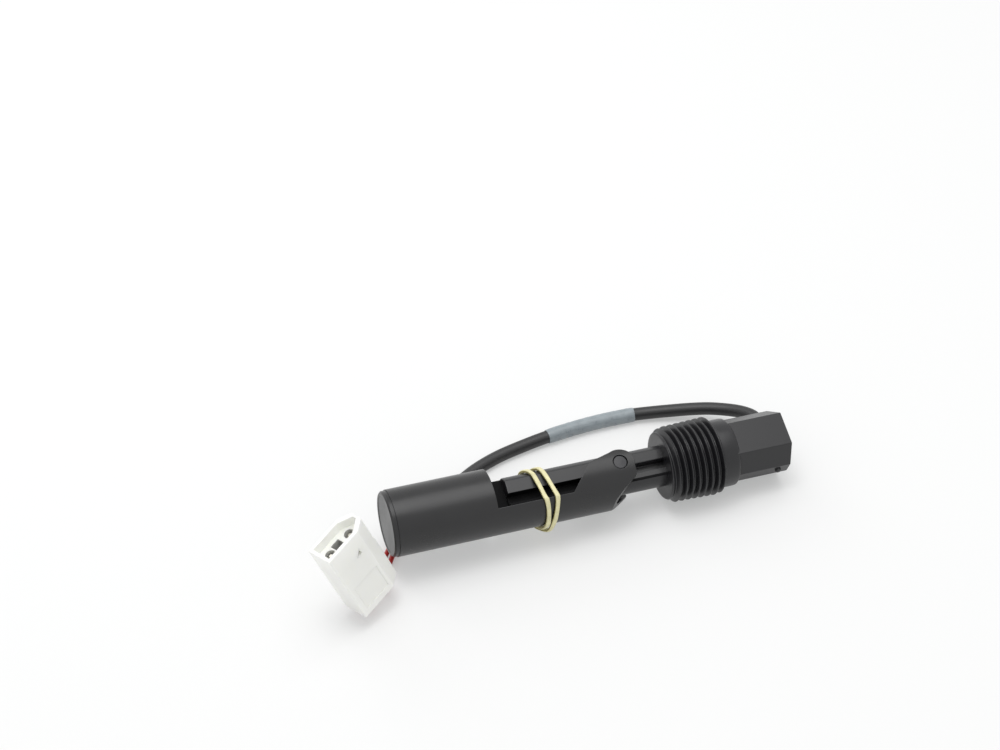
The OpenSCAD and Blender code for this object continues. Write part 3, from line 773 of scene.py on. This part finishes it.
def in_hole(spot):
    """Whether a place on the plug is on the wall of a contact bore or of the latch hole."""
    slack = 0.05
    bored = any(math.hypot(spot.x - x, spot.y) < contact_bore_r + slack
                for x in contact_places)
    latch = (latch_low[0] - slack < spot.x < latch_high[0] + slack
             and latch_low[1] - slack < spot.y < latch_high[1] + slack and spot.z > 0)
    return (bored or latch) and spot.z < mouth_floor - slack


plug.data.materials.append(plastic("nylon_in_shade", (0.48, 0.48, 0.46), 0.5))
for face in plug.data.polygons:
    face.material_index = int(in_hole(plug_lay.inverted() @ face.center))
contact_metal = metal("contact_metal", (0.72, 0.70, 0.64), 0.28)
dress("contact_pin_a", contact_metal)
dress("contact_pin_b", contact_metal)


# Table. A plain white table runs back without an edge. It glows a little where it is seen, so
# that it stays white, and keeps the switch's shadow.
table_white, table_glow, table_half = 0.82, 0.36, 4


def seen_directly(tree):
    """1 for the rays that show a surface to the eye, straight or through metal and glass."""
    rays = add_node(tree, "ShaderNodeLightPath").outputs
    return math_node(tree, "MAXIMUM", rays["Is Transmission Ray"], math_node(
        tree, "MAXIMUM", rays["Is Camera Ray"], rays["Is Glossy Ray"]))


white = bpy.data.materials.new("white_table")
white.use_nodes = True
tree = white.node_tree
tree.nodes.clear()
matt = add_node(tree, "ShaderNodeBsdfDiffuse", [
    ("Color", (table_white, table_white, table_white, 1))])
glow = add_node(tree, "ShaderNodeEmission", [
    ("Color", (0.95, 0.96, 0.955, 1)), ("Strength", 1.0)])
share = math_node(tree, "MULTIPLY", seen_directly(tree), table_glow)
both = add_node(tree, "ShaderNodeMixShader", [
    (0, share), (1, matt.outputs[0]), (2, glow.outputs[0])])
add_node(tree, "ShaderNodeOutputMaterial", [("Surface", both.outputs[0])])
table_mesh = bpy.data.meshes.new("table")
table_mesh.from_pydata([(-table_half, -table_half, 0), (table_half, -table_half, 0),
                        (table_half, table_half, 0), (-table_half, table_half, 0)],
                       [], [(0, 1, 2, 3)])
table_mesh.materials.append(white)
table = bpy.data.objects.new("table", table_mesh)
bpy.context.scene.collection.objects.link(table)


# Light. A white room lights the switch from all round. A large soft lamp and a smaller one
# hang over it, and a weak one stands behind.
room_light, room_seen = 0.68, 0.94
lamps = (("top_lamp", (0.03, 0.13, 1.0), 0.9, 4.7),
         ("spot_lamp", (-0.12, 0.05, 0.9), 0.3, 1.3),
         ("back_lamp", (-0.3, 0.7, 0.45), 0.5, 0.8))

world = bpy.data.worlds.new("studio")
world.use_nodes = True
bpy.context.scene.world = world
air = world.node_tree
sky = air.nodes["Background"]
sky.inputs["Color"].default_value = (1, 1, 1, 1)
strength = add_node(air, "ShaderNodeMapRange", [
    ("Value", seen_directly(air)), ("To Min", room_light), ("To Max", room_seen)])
air.links.new(strength.outputs[0], sky.inputs["Strength"])
for name, spot, size, power in lamps:
    lamp_data = bpy.data.lights.new(name, "AREA")
    lamp_data.size = size
    lamp_data.energy = power
    lamp = bpy.data.objects.new(name, lamp_data)
    lamp.location = spot
    lamp.rotation_euler = (-Vector(spot)).to_track_quat("-Z", "Y").to_euler()
    bpy.context.scene.collection.objects.link(lamp)
